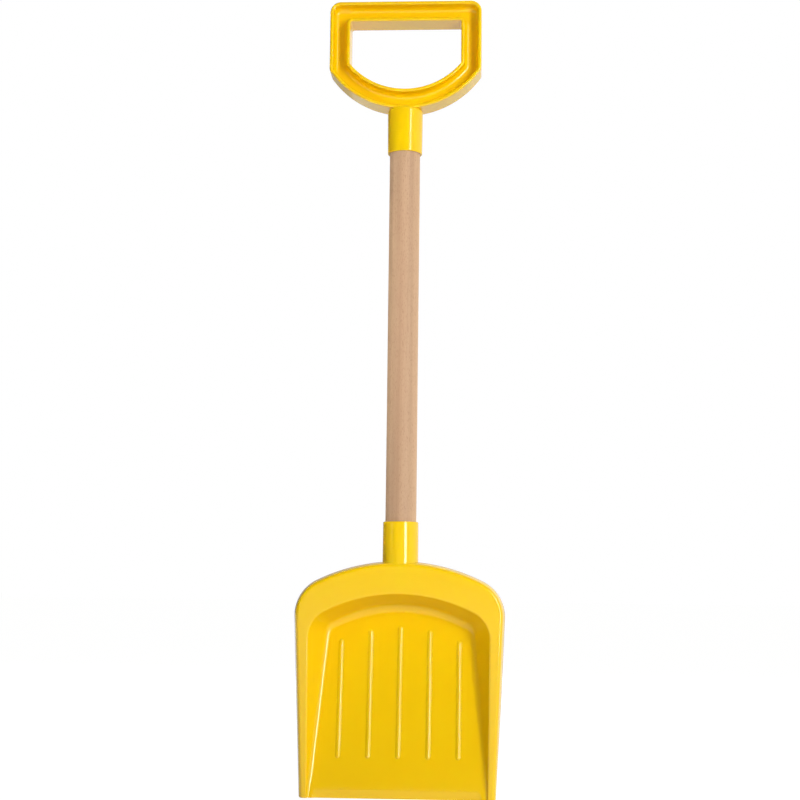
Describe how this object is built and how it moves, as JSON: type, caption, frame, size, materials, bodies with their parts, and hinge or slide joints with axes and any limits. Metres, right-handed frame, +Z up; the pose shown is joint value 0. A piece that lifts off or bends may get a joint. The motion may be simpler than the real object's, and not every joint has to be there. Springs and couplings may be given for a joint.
{
  "type": "sand shovel",
  "caption": "Child's sand shovel: glossy yellow moulded scoop blade with floor ribs and a turned-back rim, round beech stick and a channelled yellow D grip.",
  "frame": {"origin": "bottom centre of the bounding box: in the middle of the blade tip, midway between the rim's face and the back", "axes": "+Z up the stick from the tip to the grip, the scoop faces -Y, +X to the right as the scoop side is seen"},
  "size_m": [0.1478, 0.0274, 0.5706],
  "materials": {
    "yellow_plastic": "glossy injection moulded",
    "beech": "sanded, unvarnished",
    "zinc_steel": "zinc plated"
  },
  "bodies": {
    "root": {"blade": "yellow_plastic", "stick": "beech", "grip": "yellow_plastic", "socket_screws": "zinc_steel"}
  },
  "joints": []
}
